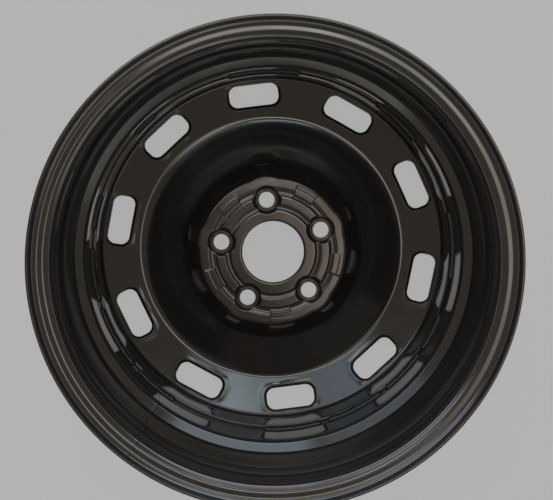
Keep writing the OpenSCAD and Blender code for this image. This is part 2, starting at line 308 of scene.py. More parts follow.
class Patchwork:
    """A closed mesh that is sewn together from grids of points with shared edges."""

    def __init__(self, name: str) -> None:
        """Start an empty patchwork with the name of its piece."""
        self.name = name
        self._points: list[np.ndarray] = []
        self._faces: list[np.ndarray] = []
        self._count = 0

    def add(self, grid: np.ndarray, window: Optional[tuple[slice, slice]] = None) -> None:
        """Add a grid.

        Args:
            grid: Points, shaped (rows, columns, 3), in millimetres.
            window: Rows and columns of cells to leave open.
        """
        rows, columns = grid.shape[:2]
        index = np.arange(rows * columns).reshape(rows, columns) + self._count
        cells = np.stack([index[:-1, :-1], index[1:, :-1], index[1:, 1:], index[:-1, 1:]], axis=-1)
        keep = np.ones(cells.shape[:2], bool)
        if window is not None:
            keep[window] = False
        self._points.append(grid.reshape(-1, 3))
        self._faces.append(cells[keep])
        self._count += rows * columns

    def add_ring(self, grid: np.ndarray, window: Optional[tuple[slice, slice]] = None) -> None:
        """Add a grid whose last column joins its first."""
        self.add(np.concatenate([grid, grid[:, :1]], axis=1), window)

    def sewn(self) -> bpy.types.Object:
        """Make the piece.

        Points closer than the sewing distance become one, faces that lose an edge by it go, and
        the faces of each closed shell are turned outwards.

        Returns:
            The new object, with smooth faces, at the origin.
        """
        mesh = bpy.data.meshes.new(self.name)
        points = np.vstack(self._points) * MM
        mesh.from_pydata(points.tolist(), [], np.vstack(self._faces).tolist())
        work = bmesh.new()
        work.from_mesh(mesh)
        bmesh.ops.remove_doubles(work, verts=work.verts, dist=SEW * MM)
        bmesh.ops.dissolve_degenerate(work, edges=work.edges, dist=CLOSE * MM)
        loose = [v for v in work.verts if not v.link_faces]
        bmesh.ops.delete(work, geom=loose, context="VERTS")
        bmesh.ops.recalc_face_normals(work, faces=work.faces)
        open_edges = sum(1 for e in work.edges if len(e.link_faces) != 2)
        work.to_mesh(mesh)
        work.free()
        mesh.polygons.foreach_set("use_smooth", np.ones(len(mesh.polygons), bool))
        mesh.update()
        triangles = sum(len(p.vertices) - 2 for p in mesh.polygons)
        log.info("%s: %d triangles, %d open edges", self.name, triangles, open_edges)
        piece = bpy.data.objects.new(self.name, mesh)
        bpy.context.scene.collection.objects.link(piece)
        return piece


def border_loop(rows: np.ndarray, columns: np.ndarray) -> np.ndarray:
    """Points round the border of a grid, along its first row first.

    Args:
        rows: Values of the grid's rows.
        columns: Values of the grid's columns.

    Returns:
        Pairs of (row, column), without a repeat of the first.
    """
    up, across = len(rows) - 1, len(columns) - 1
    sides = (
        (np.full(across, rows[0]), columns[:-1]),
        (rows[:-1], np.full(up, columns[-1])),
        (np.full(across, rows[-1]), columns[:0:-1]),
        (rows[:0:-1], np.full(up, columns[0])),
    )
    return np.concatenate([np.stack(side, axis=-1) for side in sides])


def blend_rings(inner: np.ndarray, outer: np.ndarray, shares: Sequence[float]) -> np.ndarray:
    """Rings between two loops: inner plus a share of the way to outer, one ring for each share."""
    share = np.asarray(shares)[:, None, None]
    return inner[None] + share * (outer - inner)[None]


@dataclass
class RolledRim:
    """Rim rolled from strip: flanges, bead seats, humps, well, ledge and the valve hole.

    The constants in capitals place the mesh's rows and columns. The window is the part of the grid
    that rings round the valve hole take the place of.
    """

    seat_d: float = 405.6
    width: float = 165.1
    sheet: float = 2.4
    flange_h: float = 17.3
    curl_r: float = 9.5
    tip_len: float = 2.4
    heel_r: float = 6.5
    seat_taper: float = 5.0
    seat_len: float = 14.0
    hump_h: float = 1.6
    hump_len: float = 8.0
    hump_bend_r: float = 5.0
    well_depth: float = 18.5
    well_end: float = 9.0
    ramp_len: float = 8.0
    ramp_rise: float = 9.3
    ledge_drop: float = 3.0
    ledge_drop_len: float = 9.0
    well_wall: float = 65.0
    wall_top_r: float = 4.5
    wall_foot_r: float = 6.0
    slope_foot_r: float = 6.5
    ramp_top_r: float = 3.0
    ledge_bend_r: float = 12.0
    edge_r: float = 0.7
    valve_d: float = 11.3
    valve_angle: float = 36.0
    valve_edge_r: float = 0.3
    seam_angle: float = 225.6
    seam_w: float = 3.2
    seam_h: float = 0.14
    columns: int = 288
    turn_step: float = 6.5
    run_step: float = 9.0
    line: SheetLine = field(init=False)
    wall_middle: float = field(init=False)

    # columns across the seam and the limits of its side, as shares of its width
    SEAM_COLUMNS = (-0.75, -0.5, -0.3, -0.1, 0.1, 0.3, 0.5, 0.75)
    SEAM_SOFT = (0.15, 0.55)
    SEAM_FADE = 4.0
    # straight run of the line that holds the valve hole, and the window's reach in hole widths
    VALVE_RUN = 5
    WINDOW_REACH = 0.86
    WINDOW_TURN = 4.0
    WINDOW_SHARES = (1.0, 0.7, 0.45, 0.22)
    HOLE_START = 135.0
    EDGE_TURNS = (0.0, 30.0, 60.0, 90.0)

    def __post_init__(self) -> None:
        """Lay the middle line and find the valve hole's place on it."""
        seat_r = self.seat_d / 2.0
        half = self.sheet / 2.0
        taper = math.tan(math.radians(self.seat_taper))
        self.well_r = seat_r - self.well_depth - self.sheet
        well_line_r = self.well_r + half
        foot_r = seat_r - half - (half + self.seat_len) * taper
        foot_z = self.width / 2.0 - self.seat_len
        end_r = foot_r - self.hump_len * taper
        end_z = foot_z - self.hump_len
        wall_len = (end_r - well_line_r) / math.tan(math.radians(self.well_wall))
        corners = self._flange(-1.0, seat_r, foot_r, foot_z)
        corners += [
            Corner(end_r, -end_z, self.wall_top_r),
            Corner(well_line_r, -end_z + wall_len, self.wall_foot_r),
            Corner(well_line_r, self.well_end, self.slope_foot_r),
            Corner(well_line_r + self.ramp_rise, self.well_end + self.ramp_len, self.ramp_top_r),
            Corner(end_r - self.ledge_drop, end_z - self.ledge_drop_len, self.ledge_bend_r),
            Corner(end_r, end_z, self.hump_bend_r),
        ]
        corners += self._flange(1.0, seat_r, foot_r, foot_z)[::-1]
        self.line = SheetLine(corners)
        start, end, _ = self.line.stretches[2 * self.VALVE_RUN]
        z = self.line.at(np.array([start, end]))[1]
        self.wall_middle = float(np.interp(wall_len / 2.0 - end_z, z, [start, end]))

    def _flange(self, side: float, seat_r: float, foot_r: float, foot_z: float) -> list[Corner]:
        """Corners of one flange, its bead seat and its hump; side is 1 inboard and -1 outboard."""
        half = self.sheet / 2.0
        top_r = seat_r + self.flange_h - half
        wall_z = side * (self.width / 2.0 + half)
        tip_z = side * (self.width / 2.0 + self.curl_r + self.tip_len)
        return [
            Corner(top_r, tip_z),
            Corner(top_r, wall_z, self.curl_r - half),
            Corner(seat_r - half, wall_z, self.heel_r + half),
            Corner(foot_r, side * foot_z, self.hump_bend_r),
            Corner(foot_r + self.hump_h, side * (foot_z - self.hump_len / 2.0), self.hump_bend_r),
        ]

    def _angles(self) -> np.ndarray:
        """Angles of the mesh's columns: evenly spaced, with more of them across the weld seam."""
        even = np.arange(self.columns) * 360.0 / self.columns
        width = math.degrees(self.seam_w / self.well_r)
        seam = self.seam_angle + width * np.array(self.SEAM_COLUMNS)
        clear = np.abs(even - self.seam_angle) > width
        return np.sort(np.concatenate([even[clear], seam]))

    def _seam(self, angle: np.ndarray) -> np.ndarray:
        """Height of the dressed butt weld over the sheet: a smooth ridge along the seam."""
        away = np.radians(np.abs(angle - self.seam_angle)) * self.well_r
        return self.seam_h * (1.0 - smooth_step(away / self.seam_w, *self.SEAM_SOFT))

    def _face(self, side: Side, s: np.ndarray, angle: np.ndarray) -> np.ndarray:
        """Points of one face of the sheet; the seam's ridge fades out before both edges of the strip."""
        r, z = self.line.at(s, side.value * self.sheet / 2.0)
        inside = smooth_step(np.minimum(s, self.line.length - s), self.edge_r, self.SEAM_FADE)
        return wheel_points(r - side.value * self._seam(angle) * inside, angle, z)

    def build(self) -> bpy.types.Object:
        """Revolve the section, leave a window for the valve hole in both faces and fill it with rings.

        Returns:
            The rim as one closed piece.
        """
        angles = self._angles()
        rows = self.line.rows(self.turn_step, self.run_step, self.edge_r, self.line.length - self.edge_r)
        reach = np.array([-self.valve_d, self.valve_d]) * self.WINDOW_REACH
        first, last = np.searchsorted(rows, self.wall_middle + reach)
        aside = np.array([-self.WINDOW_TURN, self.WINDOW_TURN])
        left, right = np.searchsorted(angles, self.valve_angle + aside)
        window = (slice(first, last), slice(left, right))
        work = Patchwork("rim_hoop")
        for side in Side:
            work.add_ring(self._face(side, rows[:, None], angles[None]), window)
        for end in (0.0, self.line.length):
            r, z = edge_round(self.line, end, self.sheet / 2.0, self.edge_r)
            work.add_ring(wheel_points(r[:, None], angles[None], z[:, None]))
        self._valve_hole(work, rows[first : last + 1], angles[left : right + 1])
        return work.sewn()

    def _valve_hole(self, work: Patchwork, rows: np.ndarray, angles: np.ndarray) -> None:
        """Fill the window with rings that run from its border to the hole, through it and out again.

        The border and the hole are loops of (length along the line, angle). A corner of the border
        meets the circle at 45 degrees, and each side of the border shares out a quarter of it.

        Args:
            work: The patchwork to add to.
            rows: Lengths of the window's rows.
            angles: Angles of the window's columns.
        """
        border = border_loop(rows, angles)
        cells = (len(angles) - 1, len(rows) - 1) * 2
        quarter = [np.linspace(0.0, 90.0, n, endpoint=False) + 90.0 * i for i, n in enumerate(cells)]
        turn = np.radians(np.concatenate(quarter) - self.HOLE_START)

        def circle(radius: float) -> np.ndarray:
            """Loop of (length, angle) round the hole's axis; the angle is the arc over the radius there."""
            s = self.wall_middle + radius * np.sin(turn)
            r, _ = self.line.at(s)
            away = np.degrees(np.arcsin(radius * np.cos(turn) / r))
            return np.stack([s, self.valve_angle + away], axis=-1)

        hole = self.valve_d / 2.0
        bend = np.radians(self.EDGE_TURNS)
        grow = self.valve_edge_r * (1.0 - np.sin(bend))
        depth = self.valve_edge_r * (1.0 - np.cos(bend))
        rings = []
        for side in Side:
            loops = blend_rings(circle(hole + self.valve_edge_r), border, self.WINDOW_SHARES)
            stack = [self._face(side, loop[:, 0], loop[:, 1]) for loop in loops]
            for out, down in zip(grow, depth):
                loop = circle(hole + out)
                r, z = self.line.at(loop[:, 0], side.value * (self.sheet / 2.0 - down))
                stack.append(wheel_points(r, loop[:, 1], z))
            rings += stack[:: side.value]
        work.add_ring(np.stack(rings))


@dataclass(frozen=True)
class HubEdge:
    """Edge of the hub's flat on one face of the sheet, and the shoulder and wall outside it."""

    margin: float
    lobe_w: float
    shoulder_r: float
    wall_slope: float


@dataclass
class StampedDisc:
    """Disc stamped from one sheet: hub face, bowl, nose ring, vent band and skirt.

    The constants in capitals place the mesh's rows and columns. The tuples among the fields are the
    two limits of a smooth step, or their distances from the edge where it lies.
    """

    skirt_r: float
    inset: float = 45.0
    sheet: float = 3.6
    front: HubEdge = HubEdge(18.3, 5.6, 6.6, 51.0)
    back: HubEdge = HubEdge(18.3, 6.0, 9.6, 60.0)
    crease: float = 1.2
    foot_r: float = 12.0
    foot_fade: tuple = (-14.0, 6.0)
    bowl_slope: float = 17.5
    apron_w: float = 8.0
    apron_slope: float = 8.0
    apron_bend_r: float = 46.0
    band_w: float = 42.6
    band_gap: float = 1.2
    bend_gap: float = 0.3
    nose_drop: float = 34.5
    nose_bend_r: float = 9.0
    vent_slope: float = 20.0
    skirt_bend_r: float = 4.2
    edge_z: float = 30.0
    edge_r: float = 0.5
    bore_d: float = 63.4
    bore_bevel: float = 1.2
    lug_count: int = 5
    lug_pcd: float = 108.0
    lug_d: float = 16.0
    boss_h: float = 3.2
    boss_r: float = 15.0
    boss_spread: float = 2.4
    nut_seat_d: float = 20.8
    nut_seat_angle: float = 60.0
    recess_r: float = 15.1
    recess_h: float = 3.2
    recess_floor_w: float = 1.0
    recess_bend: float = 0.5
    recess_ring: float = 0.7
    collar_w: float = 1.3
    collar_side: float = 0.9
    collar_lean: float = 1.1
    collar_drop: float = 1.0
    flat_fade: float = 0.3
    inner_land_r: float = 43.2
    mid_land_r: float = 49.4
    mid_land_w: float = 8.2
    outer_land_w: float = 6.4
    land_over: float = 0.5
    land_soft: tuple = (-0.3, 0.25)
    land_lip: float = 0.5
    lip_fade: tuple = (3.0, -1.0)
    pad_line: float = 2.9
    pad_line_h: float = 0.16
    pad_line_soft: tuple = (0.1, 0.7)
    groove_h: float = 1.5
    groove_bend: float = 0.25
    wide_half: float = 9.3
    wide_by: float = 3.2
    wide_soft: float = 0.35
    land_step: float = 0.4
    land_step_w: float = 3.0
    dimple_d: float = 6.0
    dimple_h: float = 1.0
    dimple_soft: tuple = (0.27, 0.53)
    dimple_place: float = 3.5
    slot_count: int = 10
    slot_inset: float = 21.4
    slot_l: float = 51.0
    slot_w: float = 23.0
    slot_r: float = 8.6
    dip_h: float = 0.42
    dip_w: float = 7.0
    line: SheetLine = field(init=False)

    # columns in degrees, and rows in millimetres from the edge that they lie beside
    HALF_SLOT = 18.0
    STEP_COLUMNS = (-1.0, -0.35, -0.1, 0.1, 0.35, 1.2)
    ROW_TURN = 8.0
    ROW_RUN = 9.0
    ROW_GAP = 0.35
    BRINK = (-0.45, -0.2, 0.0, 0.2, 0.5, 1.1, 1.9)
    LINE_ROWS = (-0.7, -0.35, 0.0, 0.35, 0.7)
    OVER_ROWS = (-0.45, -0.3, -0.15, 0.0, 0.12, 0.25, 0.5)
    OVER_GAP = 0.3
    RING_TURNS = 25
    RECESS_BRINK = (0.7, 0.5, 0.35, 0.2, 0.08, -0.04, -0.16, -0.3, -0.5, -0.8)
    # first ring from the recess's edge, last ring from its floor's edge, and number of rings
    RECESS_SIDE = (-1.4, 0.6, 4)
    RECESS_FOOT = (0.35, 0.15, 0.0, -0.2, -0.4)
    COLLAR_RISE = (0.0, 0.15, 0.35, 0.5, 0.65, 0.85, 1.0)
    # offsets of a corner's points as (radius, depth)
    COLLAR_TOP = ((-0.12, 0.0), (-0.5, 0.0))
    HOLE_EDGE = ((0.38, 0.0), (0.18, 0.06), (0.05, 0.2), (0.0, 0.45))
    SEAT_START = ((0.0, -0.15), (0.06, 0.12))
    SEAT_EDGE = ((-0.15, -0.27), (0.05, -0.05), (0.35, 0.0))
    BOSS_EDGE = ((-0.7, 0.0), (-0.15, -0.08), (0.25, -0.45))
    BOSS_FOOT = ((-0.55, 0.55), (-0.1, 0.12), (0.6, 0.0))
    BEVEL_TOP = ((0.2, 0.0), (0.0, 0.04), (-0.12, 0.14))
    BEVEL_END = ((0.1, -0.1), (0.0, 0.15))
    BORE_BACK = ((0.0, -0.3), (0.09, -0.09), (0.3, 0.0))
    # rings through a slot as (growth of its outline, distance from the face), and shares of the
    # way from the slot to its cell's border
    SLOT_LIP = (
        (2.9, 0.0), (2.7, 0.03), (2.5, 0.12), (2.3, 0.28), (1.8, 0.78),
        (1.2, 1.36), (0.6, 1.94), (0.22, 2.28), (0.05, 2.5), (0.0, 2.7),
    )
    SLOT_BACK = ((0.0, 0.35), (0.1, 0.1), (0.35, 0.0))
    SLOT_SHARES = (1.0, 0.8, 0.6, 0.42, 0.28, 0.18, 0.1, 0.05, 0.015)
    SLOT_ROWS = 10
    SLOT_ROUNDS = 6

    def __post_init__(self) -> None:
        """Lay the middle lines from the axis to the skirt's edge, and set the sizes that follow."""
        self.face_z = -self.inset
        self.lug_r = self.lug_pcd / 2.0
        self.pitch = 360.0 / self.lug_count
        self.recess_floor_r = self.lug_d / 2.0 + self.collar_w + self.collar_side + self.recess_floor_w
        self.edges = {Side.INBOARD: self.front, Side.OUTBOARD: self.back}
        self.lines = {side: self._middle_line(edge) for side, edge in self.edges.items()}
        self.line = self.lines[Side.OUTBOARD]
        nose, _, bend, _ = self.line.stretches[-4:]
        self.band_start = nose[1] + self.band_gap
        self.band_end = bend[0] - self.bend_gap
        self.land_edge = self.lug_r + self.back.margin - self.outer_land_w
        self.groove_edge = self.mid_land_r + self.mid_land_w
        self.columns = self._columns()
        sector = np.concatenate([self.columns, self.pitch - self.columns[-2:0:-1]])
        self.angles = np.concatenate([sector + self.pitch * i for i in range(self.lug_count)])

    def _middle_line(self, edge: HubEdge) -> SheetLine:
        """Middle line of the sheet from the axis to the skirt's edge, for one edge of the hub's flat."""
        half = self.sheet / 2.0
        wall = math.tan(math.radians(edge.wall_slope))
        bowl = math.tan(math.radians(self.bowl_slope))
        nose_r = self.skirt_r - self.band_w
        skirt_line_r = self.skirt_r - half
        nose_z = self.face_z - self.nose_drop - half
        tip = (edge.shoulder_r - half) * math.tan(math.radians(edge.wall_slope / 2.0))
        corner_r = self.lug_r + edge.margin + tip
        apron_r = nose_r - self.apron_w
        apron_z = nose_z + self.apron_w * math.tan(math.radians(self.apron_slope))
        foot_r = (self.face_z - half - apron_z + corner_r * wall - apron_r * bowl) / (wall - bowl)
        foot_z = apron_z + (apron_r - foot_r) * bowl
        skirt_z = nose_z + (skirt_line_r - nose_r) * math.tan(math.radians(self.vent_slope))
        return SheetLine([
            Corner(0.0, self.face_z - half),
            Corner(corner_r, self.face_z - half, edge.shoulder_r - half),
            Corner(foot_r, foot_z, self.foot_r + half),
            Corner(apron_r, apron_z, self.apron_bend_r + half),
            Corner(nose_r, nose_z, self.nose_bend_r + half),
            Corner(skirt_line_r, skirt_z, self.skirt_bend_r + half),
            Corner(skirt_line_r, -self.edge_z),
        ])

    def _columns(self) -> np.ndarray:
        """Angles of the columns from one bolt to half way to the next, closer at the land's step."""
        end = self.pitch / 2.0
        wide = end - self.wide_half + np.array(self.STEP_COLUMNS)
        near = np.linspace(0.0, self.HALF_SLOT, 13)
        before = np.linspace(self.HALF_SLOT, wide[0], 7)[1:-1]
        after = np.linspace(wide[-1], end, 6)[1:]
        return np.concatenate([near, before, wide, after])

    def _trough(self, r: np.ndarray, low: float, high: float) -> np.ndarray:
        """Depth of a groove between two radii: a parabola with its upper corners rounded."""
        share = (2.0 * r - low - high) / (high - low)
        return self.groove_h * soft_max(1.0 - share * share, np.zeros_like(share), self.groove_bend)

    def _land_depth(self, x: np.ndarray, y: np.ndarray) -> np.ndarray:
        """Depth of the stamped hub face below the mounting plane.

        Two troughs separate the lands. The outer land lies a little lower, apart from a wider
        stretch half way between two bolts. The index dimple is a smooth step of the distance from
        its middle.

        Args:
            x: Places across the wheel.
            y: Places towards the first bolt.

        Returns:
            Depths, 0 on the lands that meet the hub.
        """
        r = np.hypot(x, y)
        angle = np.degrees(np.arctan2(x, y)) % self.pitch
        inner = self._trough(r, self.inner_land_r, self.mid_land_r)
        wide = self._trough(r, self.groove_edge, self.land_edge - self.wide_by)
        plain = self._trough(r, self.groove_edge, self.land_edge)
        plain = plain + self.land_step * smooth_step(r, self.land_edge - self.land_step_w, self.land_edge)
        from_middle = np.abs(angle - self.pitch / 2.0)
        in_wide = 1.0 - smooth_step(from_middle - self.wide_half, -self.wide_soft, self.wide_soft)
        line = 1.0 - smooth_step(np.abs(r - self.land_edge - self.pad_line), *self.pad_line_soft)
        wide = wide + self.pad_line_h * line
        at = math.radians(self.dimple_place * self.pitch)
        middle = self.mid_land_r + self.mid_land_w / 2.0
        away = np.hypot(x - middle * math.sin(at), y - middle * math.cos(at))
        dimple = 1.0 - smooth_step(away / self.dimple_d, *self.dimple_soft)
        return inner + in_wide * wide + (1.0 - in_wide) * plain + self.dimple_h * dimple

    def _recess_depth(self, x: np.ndarray, y: np.ndarray) -> np.ndarray:
        """Depth of the round recess about the nearest bolt.

        It is a cone's depth, which falls with the distance from the bolt's axis, kept between 0 and
        the recess's own depth with both corners rounded.
        """
        pitch = math.radians(self.pitch)
        angle = (np.arctan2(x, y) + pitch / 2.0) % pitch - pitch / 2.0
        r = np.hypot(x, y)
        away = np.hypot(r * np.sin(angle), r * np.cos(angle) - self.lug_r)
        cone = self.recess_h * (self.recess_r - away) / (self.recess_r - self.recess_floor_r)
        none = np.zeros_like(cone)
        left = self.recess_h - soft_max(cone, none, self.recess_bend)
        return self.recess_h - soft_max(left, none, self.recess_bend)

    def _bulge(self, edge: HubEdge, angle: np.ndarray, out: np.ndarray) -> np.ndarray:
        """How far the edge of the hub's flat bulges outside a bolt hole.

        The bulge is the circle of the lobe's radius about the bolt, less the flat's own circle, both
        grown by the distance out from the flat's edge. The crease between them is rounded.

        Args:
            edge: Edge of the flat on the face in question.
            angle: Angles from the nearest bolt.
            out: Distances outside the flat's edge.

        Returns:
            How far each point moves outwards.
        """
        a = np.radians(angle)
        across = (self.recess_r + edge.lobe_w + out) ** 2 - (self.lug_r * np.sin(a)) ** 2
        reach = self.lug_r * (np.cos(a) - 1.0) + np.sqrt(np.maximum(across, 0.0))
        return soft_max(reach - edge.margin - out, np.zeros_like(reach), self.crease)

    def _face(self, side: Side, s: np.ndarray, angle: np.ndarray) -> np.ndarray:
        """Points of one face of the sheet.

        Args:
            side: Which face.
            s: Lengths along the middle line.
            angle: Angles from the bolt, between half a pitch to each side.

        Returns:
            Points with the bulges, and on the inboard face with the lands, grooves and recesses.
        """
        s, angle = np.broadcast_arrays(s, angle)
        line, edge = self.lines[side], self.edges[side]
        flat_r = self.lug_r + edge.margin
        foot_end = line.bend_end(1)
        r, z = line.at(s, side.value * self.sheet / 2.0)
        out = np.maximum(r - flat_r, 0.0)
        share = smooth_step(s, flat_r - self.flat_fade, flat_r)
        share = share * (1.0 - smooth_step(s, foot_end + self.foot_fade[0], foot_end + self.foot_fade[1]))
        points = wheel_points(r + share * self._bulge(edge, angle, out), angle, z)
        if side is Side.INBOARD:
            x, y = points[..., 0], points[..., 1]
            past = smooth_step(out, self.land_over + self.land_soft[0], self.land_over + self.land_soft[1])
            lip = 1.0 - smooth_step(s, flat_r + self.lip_fade[0], foot_end + self.lip_fade[1])
            drop = (np.maximum(self.face_z - z, 0.0) + self.land_lip * lip) * past
            low = self.face_z - deepest(self._land_depth(x, y), self._recess_depth(x, y), drop)
            points[..., 2] = np.where(s < foot_end, low, z)
        return points

    def _ring_rows(self, ring_r: float, turns: np.ndarray) -> np.ndarray:
        """Radii at which the circle about a bolt is met, for turns about the bolt from the wheel's axis."""
        return np.sqrt(self.lug_r**2 + ring_r**2 - 2.0 * self.lug_r * ring_r * np.cos(turns))

    def _opened(self, rows: np.ndarray, ring_r: float, limit: float) -> np.ndarray:
        """Angles of the columns in each row, moved aside so that the first follows a bolt's ring.

        The angle comes from the triangle of the two axes and a point on the ring. The columns up to
        the limit share what is left of their span.

        Args:
            rows: Radii of the rows.
            ring_r: Radius of the ring about the bolt.
            limit: Angle up to which columns move.

        Returns:
            Angles, shaped (rows, columns).
        """
        edge = np.degrees(angle_between(rows, self.lug_r, ring_r))[:, None]
        base = self.columns[None]
        return np.where(base < limit, edge + base * (1.0 - edge / limit), base)

    def _pad_rows(self) -> np.ndarray:
        """Radii of the inboard rows across the hub face, by the lands' edges and the recess's turns."""
        brink = np.array(self.BRINK)
        short = brink[:5]
        edges = np.concatenate([
            self.inner_land_r + brink,
            self.mid_land_r - brink,
            self.groove_edge + brink,
            self.land_edge - self.wide_by - short,
            self.land_edge - short,
            self.land_edge + self.pad_line + np.array(self.LINE_ROWS),
        ])
        turns = np.radians(np.linspace(0.0, 180.0, self.RING_TURNS))
        even = self._ring_rows(self.recess_r + self.recess_ring, turns)
        keep = np.abs(even[:, None] - edges[None]).min(axis=1) > self.ROW_GAP
        keep[[0, -1]] = True
        bevel_r = self.bore_d / 2.0 + self.bore_bevel
        inside = np.linspace(bevel_r + self.BEVEL_TOP[0][0], even[0], 5)[:-1]
        flat_end = self.lug_r + self.front.margin - self.flat_fade
        rows = np.unique(np.round(np.concatenate([inside, edges, even[keep], [flat_end]]), 5))
        return rows[rows <= flat_end + CLOSE]

    def _beyond(self, side: Side) -> np.ndarray:
        """Lengths of the rows from the edge of the hub's flat to the vent band, close at the lands' edge."""
        line, edge = self.lines[side], self.edges[side]
        flat_r = self.lug_r + edge.margin
        rows = line.rows(self.ROW_TURN, self.ROW_RUN, flat_r, line.bend_end(3) + self.band_gap)
        if side is Side.OUTBOARD:
            return rows
        past = (self.land_over + np.array(self.OVER_ROWS)) / edge.shoulder_r
        close = flat_r + (edge.shoulder_r - self.sheet / 2.0) * np.arcsin(past)
        far = np.abs(rows[:, None] - close[None]).min(axis=1) > self.OVER_GAP
        return np.sort(np.concatenate([rows[far], close]))

    def _hub(self, work: Patchwork) -> None:
        """Add both faces of the hub and the bowl, and the bolt holes between them."""
        ring_in = self.recess_r + self.recess_ring
        ring_out = self.boss_r + self.boss_spread + self.BOSS_FOOT[-1][0]
        pad = self._pad_rows()
        on_ring = np.abs(pad - self.lug_r) < ring_in + CLOSE
        turns = angle_between(self.lug_r, ring_in, pad[on_ring])
        back = self._ring_rows(ring_out, turns)
        inside = np.linspace(self.bore_d / 2.0 + self.BORE_BACK[-1][0], back[0], 3)[:-1]
        inboard = np.concatenate([pad, self._beyond(Side.INBOARD)])
        outboard = np.concatenate([inside, back, self._beyond(Side.OUTBOARD)])
        pieces = [
            self._face(side, rows[:, None], self._opened(rows, ring, limit))
            for side, rows, ring, limit in (
                (Side.INBOARD, inboard, ring_in, self.HALF_SLOT),
                (Side.OUTBOARD, outboard, ring_out, self.pitch / 2.0),
            )
        ]
        pieces.append(self._bolt_hole(turns))
        for i in range(self.lug_count):
            for grid in pieces:
                work.add(turned(grid, i * self.pitch))
                work.add(turned(mirrored(grid), i * self.pitch))

    def _bolt_hole(self, turns: np.ndarray) -> np.ndarray:
        """Rings through a bolt hole, from the recess's edge to the foot of the nut boss.

        Each ring has a radius about the bolt and a depth below the mounting plane. The first rings
        follow the hub face itself, the others are turned: floor of the recess, raised collar, bore,
        conical nut seat and nut boss.

        Args:
            turns: Turns about the bolt, from the side of the wheel's axis to the far side.

        Returns:
            Points, shaped (rings, turns, 3).
        """
        hole = self.lug_d / 2.0
        seat = self.nut_seat_d / 2.0
        collar = hole + self.collar_w
        top = self.sheet + self.boss_h
        bore_end = top - (seat - hole) / math.tan(math.radians(self.nut_seat_angle / 2.0))
        start, end, count = self.RECESS_SIDE
        followed = np.concatenate([
            self.recess_r + np.array(self.RECESS_BRINK),
            np.linspace(self.recess_r + start, self.recess_floor_r + end, count),
            self.recess_floor_r + np.array(self.RECESS_FOOT),
        ])
        up = np.array(self.COLLAR_RISE)
        height = self.recess_h - (self.recess_h - self.collar_drop) * smooth_step(up, 0.0, 1.0)
        rise = np.stack([self.collar_side * (self.collar_lean - up), height], axis=-1)
        turned_rings = rounded_profile(
            (collar, 0.0, rise),
            (collar, self.collar_drop, self.COLLAR_TOP),
            (hole, self.collar_drop, self.HOLE_EDGE),
            (hole, bore_end, self.SEAT_START),
            (seat, top, self.SEAT_EDGE),
            (self.boss_r, top, self.BOSS_EDGE),
            (self.boss_r + self.boss_spread, self.sheet, self.BOSS_FOOT),
        )

        def ring(radius: np.ndarray) -> tuple[np.ndarray, np.ndarray]:
            """Places on circles about the bolt, one row for each radius."""
            return radius[:, None] * np.sin(turns), self.lug_r - radius[:, None] * np.cos(turns)

        x, y = ring(followed)
        depth = deepest(self._land_depth(x, y), self._recess_depth(x, y))
        upper = np.stack([x, y, self.face_z - depth], axis=-1)
        x, y = ring(turned_rings[:, 0])
        depth = np.broadcast_to(turned_rings[:, 1:], x.shape)
        return np.concatenate([upper, np.stack([x, y, self.face_z - depth], axis=-1)])

    def _bore(self, work: Patchwork) -> None:
        """Add the wall of the centre bore, with its bevel inboard and its sheared edge outboard."""
        r = self.bore_d / 2.0
        profile = rounded_profile(
            (r + self.bore_bevel, 0.0, self.BEVEL_TOP),
            (r, self.bore_bevel, self.BEVEL_END),
            (r, self.sheet, self.BORE_BACK),
        )
        work.add_ring(wheel_points(profile[:, :1], self.angles[None], self.face_z - profile[:, 1:]))

    def _skirt(self, work: Patchwork) -> None:
        """Add the skirt: up its inboard face, round its cut edge and down its outboard face."""
        line = self.line
        rows = line.rows(self.ROW_TURN, self.ROW_RUN, self.band_end, line.length - self.edge_r)
        r_in, z_in = line.at(rows, self.sheet / 2.0)
        r_out, z_out = line.at(rows[::-1], -self.sheet / 2.0)
        r_edge, z_edge = edge_round(line, line.length, self.sheet / 2.0, self.edge_r)
        r = np.concatenate([r_in, r_edge[1:-1], r_out])
        z = np.concatenate([z_in, z_edge[1:-1], z_out])
        work.add_ring(wheel_points(r[:, None], self.angles[None], z[:, None]))

    def _slot_loop(self, across: int, up: int, grow: float) -> np.ndarray:
        """Outline of a slot: a rectangle with round corners, as (along the wheel, up the slope).

        Each side runs from the middle of one corner's arc to the middle of the next, and its points
        are spaced evenly along it. The first side runs along +x at the lower edge, the next up the
        right end, and so on.

        Args:
            across: Cells in each long side.
            up: Cells in each short side.
            grow: Distance by which the outline is grown.

        Returns:
            Points of the closed loop, without a repeat of the first.
        """
        radius = self.slot_r + grow
        arc = math.pi / 4.0 * self.slot_r
        sizes = (self.slot_l, self.slot_w)
        loop = []
        for side, cells in enumerate((across, up, across, up)):
            flat = sizes[side % 2] - 2.0 * self.slot_r
            rise = sizes[1 - side % 2] / 2.0 - self.slot_r
            at = np.linspace(0.0, 2.0 * arc + flat, cells, endpoint=False)
            turn = np.clip(1.0 - at / arc, 0.0, 1.0) - np.clip((at - arc - flat) / arc, 0.0, 1.0)
            turn = turn * math.pi / 4.0
            run = np.clip(at - arc, 0.0, flat) - flat / 2.0 - radius * np.sin(turn)
            out = rise + radius * np.cos(turn)
            c, s = math.cos(math.pi / 2.0 * side), math.sin(math.pi / 2.0 * side)
            loop.append(np.stack([run * c + out * s, run * s - out * c], axis=-1))
        return np.concatenate(loop)

